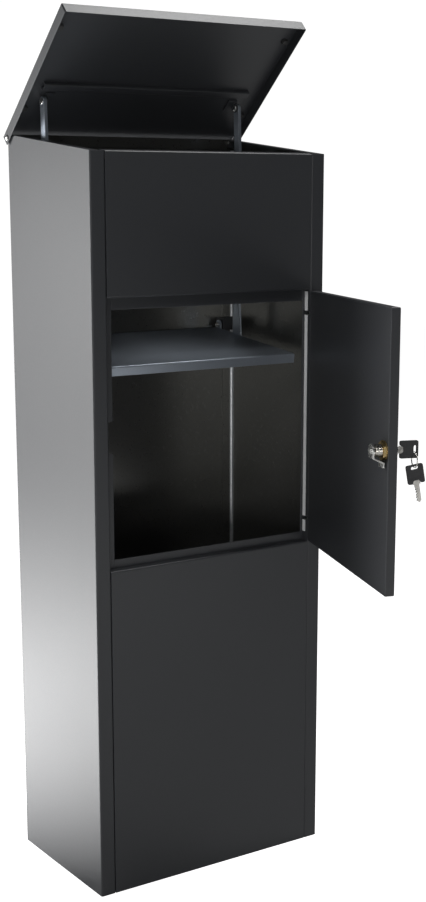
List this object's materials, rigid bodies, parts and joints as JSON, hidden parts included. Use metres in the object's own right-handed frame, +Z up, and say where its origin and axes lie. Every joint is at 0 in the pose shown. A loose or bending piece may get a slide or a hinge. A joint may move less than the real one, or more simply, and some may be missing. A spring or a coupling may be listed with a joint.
{
  "type": "parcel drop box",
  "caption": "Free-standing sheet steel parcel drop box with a raised sloping lid, a tilting anti-fishing tray and a side-hinged locking door with keys in its lock.",
  "frame": {"origin": "bottom centre of the cabinet, on the floor, at the centre of the floor anchor holes", "axes": "+X to the cabinet's right seen from the front, -Y out of the front face, +Z up"},
  "size_m": [0.3812, 0.5465, 1.1805],
  "materials": {
    "coat": "fine-texture satin powder coat, anthracite",
    "tray_coat": "satin powder coat, blue-grey",
    "zinc": "bright zinc plate",
    "brass": "turned brass",
    "rubber": "matt rubber",
    "key_plastic": "moulded black plastic",
    "nickel": "nickel plate"
  },
  "bodies": {
    "cabinet": {"left_side_panel": "coat", "right_side_panel": "coat", "rear_panel": "coat", "floor_plate": "coat", "front_top_panel": "coat", "front_lower_panel": "coat", "door_frame_head": "coat", "door_frame_sill": "coat", "lock_side_jamb": "coat", "hinge_side_jamb": "coat", "door_hinge_brackets": "zinc", "door_hinge_pins": "zinc", "lid_hinge_blocks": "coat", "lid_hinge_pins": "zinc", "tray_pivot_brackets": "coat", "tray_pivot_pins": "zinc"},
    "lid": {"lid_shell": "coat", "lid_stiffener": "coat", "lid_buffers": "rubber", "lid_link_lugs": "coat", "lid_link_rivets": "zinc"},
    "left_link": {"left_link_bar": "tray_coat"},
    "right_link": {"right_link_bar": "tray_coat"},
    "tray": {"tray_shelf": "tray_coat", "left_tray_cheek": "tray_coat", "right_tray_cheek": "tray_coat", "tray_link_pins": "zinc"},
    "door": {"door_outer_pan": "coat", "door_inner_liner": "coat", "door_hinge_arms": "zinc", "lock_body": "nickel", "lock_washer": "brass", "lock_nut": "brass"},
    "lock": {"lock_plug": "nickel", "lock_cam": "zinc", "cam_screw": "zinc"},
    "key": {"key_blade": "nickel", "key_bow": "key_plastic"},
    "ring": {"key_ring": "nickel"},
    "spare_key": {"spare_key_blade": "nickel", "spare_key_bow": "key_plastic"}
  },
  "joints": [
    {"name": "lid_hinge", "type": "hinge", "parent": "cabinet", "child": "lid", "pos_m": [0, 0.1085, 1.02132], "axis": [1, 0, 0], "range_deg": [0, 48.7]},
    {"name": "tray_tilt", "type": "hinge", "parent": "cabinet", "child": "tray", "pos_m": [0, 0.098, 0.75336], "axis": [1, 0, 0], "range_deg": [0, 48.7]},
    {"name": "left_link_pivot", "type": "hinge", "parent": "lid", "child": "left_link", "pos_m": [-0.1575, 0.05969, 1.06798], "axis": [1, 0, 0], "range_deg": [-48.7, 0]},
    {"name": "right_link_pivot", "type": "hinge", "parent": "lid", "child": "right_link", "pos_m": [0.1575, 0.05969, 1.06798], "axis": [1, 0, 0], "range_deg": [-48.7, 0]},
    {"name": "door_hinge", "type": "hinge", "parent": "cabinet", "child": "door", "pos_m": [0.1705, -0.1065, 0.6365], "axis": [0, 0, 1], "range_deg": [-70, 30]},
    {"name": "lock_turn", "type": "hinge", "parent": "door", "child": "lock", "pos_m": [0.06755, -0.40691, 0.64], "axis": [-0.9397, 0.342, 0], "range_deg": [0, 90]},
    {"name": "key_pull", "type": "slide", "parent": "lock", "child": "key", "axis": [0.9397, -0.342, 0], "range_m": [0, 0.03]},
    {"name": "ring_swing", "type": "hinge", "parent": "key", "child": "ring", "pos_m": [0.09311, -0.41621, 0.6362], "axis": [0.342, 0.9397, 0], "range_deg": [-20, 20]},
    {"name": "spare_key_swing", "type": "hinge", "parent": "ring", "child": "spare_key", "pos_m": [0.09311, -0.41621, 0.6174], "axis": [0.342, 0.9397, 0], "range_deg": [-20, 30]}
  ],
  "couplings": [
    {"joint": "tray_tilt", "follows": "lid_hinge", "ratio": 1},
    {"joint": "left_link_pivot", "follows": "lid_hinge", "ratio": -1},
    {"joint": "right_link_pivot", "follows": "lid_hinge", "ratio": -1}
  ]
}
